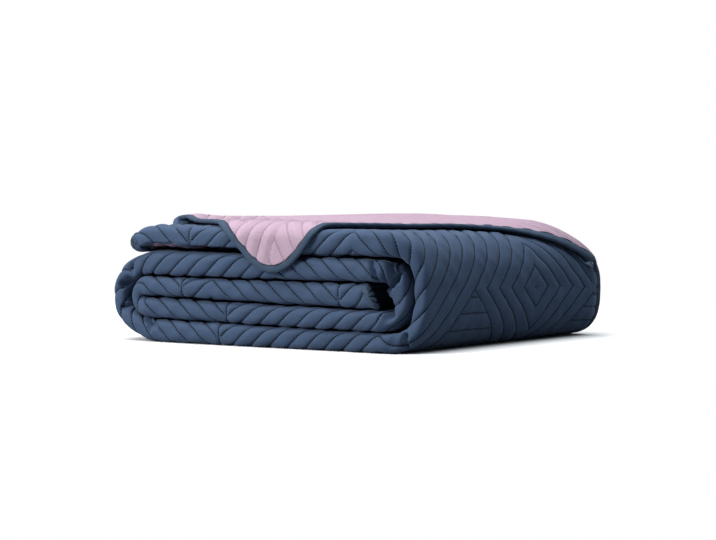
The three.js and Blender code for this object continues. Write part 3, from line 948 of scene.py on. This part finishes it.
def slab_triangles(rows, columns):
    """Triangles of two grids, one over the other, and of the rim that joins them."""
    i, j = np.meshgrid(np.arange(rows - 1), np.arange(columns - 1), indexing="ij")
    a, b = i * columns + j, (i + 1) * columns + j
    upper = np.stack([np.stack([a, b, b + 1], -1), np.stack([a, b + 1, a + 1], -1)], 2).reshape(-1, 3)
    below = rows * columns
    rim = [
        np.arange(columns),
        np.arange(1, rows) * columns + columns - 1,
        (rows - 1) * columns + np.arange(columns - 2, -1, -1),
        np.arange(rows - 2, 0, -1) * columns,
    ]
    rim = np.concatenate(rim)
    after = np.roll(rim, -1)
    sides = [np.stack([rim, after, rim + below], 1), np.stack([after, after + below, rim + below], 1)]
    return upper, upper[:, ::-1] + below, np.concatenate(sides)


# The corner's cloth goes this far under its binding, and its roll is flatter at the right end.
UNDER_TAPE = 1.0
FLATTER = dict(to=0.3, until=0.14)


def make_corner():
    rows, across, nose_columns = 262, 88, 9
    edge, inward, _ = corner_outline(rows)
    edge = edge + inward * (TAPE_WIDTH - UNDER_TAPE)
    f = np.linspace(0, 1, rows)[:, None]
    crease = mix(CREASE_RIGHT, CREASE_LEFT, f)
    to_edge = edge - crease
    length = np.linalg.norm(to_edge, axis=1, keepdims=True)
    ahead = to_edge / length
    angle = np.linspace(-np.pi / 2, np.pi / 2, nose_columns)
    flatter = mix(FLATTER["to"], 1, smooth(0, FLATTER["until"], f))
    nose_back = CREASE["nose"] * np.cos(angle)[None, :] * flatter
    nose_over = 1 + CREASE["rise"] * np.sin(angle)
    # How much cloth has gone round the roll at each of its columns.
    round_nose = (CREASE["nose"] + CREASE["rise"]) / 2 * (np.pi / 2 - angle)
    spread = 1 - (1 - np.linspace(0, 1, across + 1)[1:]) ** 1.15
    distance = np.concatenate([-nose_back, length * spread[None, :]], 1)
    flat = crease[:, None, :] + ahead[:, None, :] * distance[..., None]
    over = np.concatenate([nose_over, np.full(across, REST_GAP + PLY)])[None, :]
    under = np.concatenate([np.full(nose_columns, -PLY + 0.5), np.full(across, REST_GAP)])[None, :]
    laid = np.concatenate([0 * nose_back - round_nose, length * spread[None, :]], 1)
    laid = crease[:, None, :] + ahead[:, None, :] * laid[..., None]
    s, v = unfolded(laid[..., 0], laid[..., 1])
    lift = np.concatenate([0.5 + 0.5 * np.sin(angle), np.ones(across)])[None, :]
    top = draped(flat[..., 0], flat[..., 1], over - soft_puff(s, v) * (distance > 0), lift)
    bottom = draped(flat[..., 0], flat[..., 1], under, smooth(0, 18, distance))
    columns = top.shape[1]
    upper, lower, sides = slab_triangles(rows, columns)
    triangles = np.concatenate([upper, lower, sides])
    points = np.concatenate([top.reshape(-1, 3), bottom.reshape(-1, 3)])
    flat_s, flat_v = np.tile(s.ravel(), 2), np.tile(v.ravel(), 2)
    corner_s, corner_v = flat_s[triangles], flat_v[triangles]
    centres = corner_s.mean(1, keepdims=True), corner_v.mean(1, keepdims=True)
    seams = np.stack(seam_uv(corner_s, corner_v, *centres, corner_plane), -1)
    cloth = np.stack([corner_s, corner_v], -1) * MM
    left, right = CORNER[-1][0] + NAVY_ENDS["left"], CORNER[0][0]
    flat_x = np.tile(flat[..., 0].ravel(), 2)
    near_end = (flat_x[upper].max(1) < left) | (flat_x[upper].min(1) > right - NAVY_ENDS["right"])
    on_roll = upper.min(1) % columns < nose_columns - 1
    on_rim = (flat_x[sides].min(1) < left) | (flat_x[sides].max(1) > right - NAVY_ENDS["rim_right"])
    slots = np.concatenate([near_end & on_roll, np.ones(len(lower)), on_rim])
    return mesh_of("turned_back_corner", points, triangles, seams, cloth, None, [ROSE, NAVY], slots)


corner = make_corner()
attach(corner, "root")
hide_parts("quilt")

# ---- the bindings ----

TAPE_STITCH_IN = 1.6
RING_STEP = 4.0
PLIES = 4


def band(name, rings, run, across):
    """A closed band of tape through rings of points, with its length and width laid out for its stitches and
    its cloth.
    """
    rows, columns = rings.shape[:2]
    triangles = tube_triangles(rows, columns, np.zeros((rows - 1, columns), bool))
    first = rows * columns
    points = np.concatenate([rings.reshape(-1, 3), [rings[0].mean(0), rings[-1].mean(0)]])
    j = np.arange(columns)
    last = (rows - 1) * columns
    caps = [
        np.stack([(j + 1) % columns, j, np.full(columns, first)], 1),
        np.stack([last + j, last + (j + 1) % columns, np.full(columns, first + 1)], 1),
    ]
    triangles = np.concatenate([triangles, *caps])
    run = np.concatenate([np.repeat(run, columns), [run[0], run[-1]]])
    across = np.concatenate([np.tile(across, rows), [across[0], across[0]]])
    u, w = run[triangles], across[triangles]
    seams = np.stack([(w - TAPE_STITCH_IN) / ACROSS, u / STITCH], -1)
    a, b, c = (points[triangles[:, k]] for k in range(3))
    if (a * np.cross(b, c)).sum() < 0:
        triangles, seams, u, w = triangles[:, ::-1], seams[:, ::-1], u[:, ::-1], w[:, ::-1]
    return mesh_of(name, points, triangles, seams, np.stack([u, w], -1) * MM, None, [TAPE])


def rounded(count, half_width, half_height, square=3.0):
    """A flattened round section, as (across, up) pairs."""
    angle = np.linspace(0, 2 * np.pi, count, endpoint=False)
    return half_width * bend(np.cos(angle), 2 / square), half_height * bend(np.sin(angle), 2 / square)


def gathers(run, short, swing, wave, shift=0.0):
    """How a sewn binding gathers along its length: fine puckers on a slow waver."""
    return 0.25 * np.sin(run / short) + swing * np.sin(run / wave + shift)


# The corner's binding leads in from the back edge's at its right end, and rounds the roll at its left.
TAPE_JOIN = dict(rings=6, apart=3.0, aside=3.0, reach=22.0, down=10.0)
TAPE_TURN = dict(rings=10, apart=1.5, radius=4.5, eased=0.8)


def make_corner_tape():
    rows, columns = 300, 16
    edge, inward, at = corner_outline(rows)
    across, up = rounded(columns, TAPE_WIDTH / 2, TAPE_THICKNESS / 2)
    gathered = gathers(at, 3.1, 0.45, 17, 1.0)[:, None]
    inset = (TAPE_WIDTH / 2 - 0.1 - across)[None, :]
    flat = edge[:, None, :] + inward[:, None, :] * (inset + 0.4 * gathered)[..., None]
    height = REST_GAP + PLY / 2 + up[None, :] + 0.7 * gathered
    rings = draped(flat[..., 0], flat[..., 1], height)
    turn = []
    radius = TAPE_TURN["radius"] + up
    for angle in np.linspace(np.pi / 2, -np.pi / 2, TAPE_TURN["rings"] + 1)[1:]:
        to_line = mix(inward[-1], -CREASE_LINE, min(1.0, (np.pi / 2 - angle) / TAPE_TURN["eased"]))
        to_line = to_line / np.linalg.norm(to_line)
        back = CREASE_NORMAL * (radius * np.cos(angle))[:, None]
        place_flat = edge[-1] + to_line * inset[0][:, None] - back
        turn.append(draped(place_flat[:, 0], place_flat[:, 1], 1 + radius * np.sin(angle)))
    joins = []
    for f in np.linspace(1, 0, TAPE_JOIN["rings"] + 1)[:-1]:
        ahead = edge[0] + np.array([TAPE_JOIN["aside"], TAPE_JOIN["reach"]]) * f
        turned = mix(inward[0], np.array([-1.0, 0.0]), f)
        place_flat = ahead + turned * inset[0][:, None]
        joins.append(draped(place_flat[:, 0], place_flat[:, 1], height[0] - TAPE_JOIN["down"] * f * f))
    rings = np.concatenate([np.array(joins), rings, np.array(turn)])
    before = -TAPE_JOIN["apart"] * np.arange(TAPE_JOIN["rings"], 0, -1)
    after = at[-1] + TAPE_TURN["apart"] * np.arange(1, TAPE_TURN["rings"] + 1)
    run = np.concatenate([before, at, after])
    return band("binding_corner", rings, run, TAPE_WIDTH / 2 + across)


def make_back_tape(name, low, high, until):
    """The binding of the plies that lie between two shares of the strip's half thickness."""
    s = np.arange(0, until, RING_STEP)
    _, _, t, _, _, _ = along(s)
    half = t / 2
    across, up = rounded(14, TAPE_WIDTH / 2 + 0.1, 1.0)
    gathered = 0.5 * gathers(s, 3.4, 0.3, 19)[:, None]
    middle, tall = half * (low + high) / 2, half * (high - low) / 2 - 0.35
    n = middle[:, None] + tall[:, None] * up[None, :]
    y = back_edge(s)[:, None] - TAPE_WIDTH / 2 + across[None, :] + gathered - 0.4
    rings = place(s[:, None], y, n)
    return band(name, rings, s, TAPE_WIDTH / 2 + across)


def end_profile(width, lobed):
    """Down an end of the strip: the share of its height, how far the binding stands out, and its swell."""
    share = np.linspace(0, 1, 33)
    ply = np.abs((share * PLIES) % 1 - 0.5) * 2
    round_all = np.clip(1 - np.abs(2 * share - 1) ** 2.2, 0, 1) ** 0.5
    round_each = width - 3.2 + 3.4 * np.sqrt(np.clip(1 - ply**2, 0, 1))
    round_ply = width * (1 - lobed) * round_all + lobed * round_each
    lip = 3.5 * lobed + 0.4
    out = np.concatenate([[0.3, lip], np.maximum(round_ply, 0.6), [lip, 0.3]])
    return np.concatenate([[0, 0], share, [1, 1]]), out, np.concatenate([[0, 0.3], 0 * ply, [0.3, 0]])


def make_end_tape(name, s, onward, width, lobed):
    """The binding over one end of the strip, which holds the ends of its four plies."""
    x, z, t, drawn, out_x, out_z = (float(a) for a in along(np.array(s)))
    half, front, back = t / 2, float(front_edge(s, drawn)), float(back_edge(s)) - 0.6
    rounded_y = front + FRONT["nose"] * np.linspace(0.004, 1, 14) ** 2
    straight_y = np.arange(front + FRONT["nose"] + RING_STEP, back, RING_STEP)
    y = np.concatenate([rounded_y, straight_y, [back]])
    nose = (1 - np.clip(1 - (y - front) / FRONT["nose"], 0, 1) ** FRONT["square"]) ** (1 / FRONT["square"])
    crease, drop = crease_at(np.array(s))
    top = half * nose - step_down(crease, drop, y)
    bottom = -half * nose
    share, out, swell = end_profile(width, lobed)
    n = mix(top[:, None], bottom[:, None], share[None, :]) + np.sign(0.5 - share) * swell
    reach = out[None, :] * (0.62 + 0.38 * nose[:, None])
    slant = CORE_END["slant"] * 2 * n / t * (1 - smooth(0, CORE_END["over"], s)) + dent_at(s, y[:, None])
    far_x = x - out_z * reach * onward + out_x * n - slant
    far_z = (z + out_x * reach * onward + out_z * n) * settled(far_x, y[:, None])
    rings = np.stack(np.broadcast_arrays(far_x, y[:, None], np.maximum(far_z, 0)), -1)
    return band(name, rings, y, share * 24)


FIRST, LAST = float(ROWS[0]), float(ROWS[-1])
bindings = {
    "tape_corner": make_corner_tape(),
    "tape_back_outer": make_back_tape("binding_back_outer", 0.5, 1.0, on_top(CORNER[0][0]) + 2),
    "tape_back_inner": make_back_tape("binding_back_inner", 0.0, 0.5, LAST),
    "tape_core_end": make_end_tape("binding_core_end", FIRST, -1, TAPE_WIDTH, 1.0),
    "tape_outer_end": make_end_tape("binding_outer_end", LAST, 1, 13.0, 0.15),
}
for node, piece in bindings.items():
    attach(piece, "root")
    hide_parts(node)
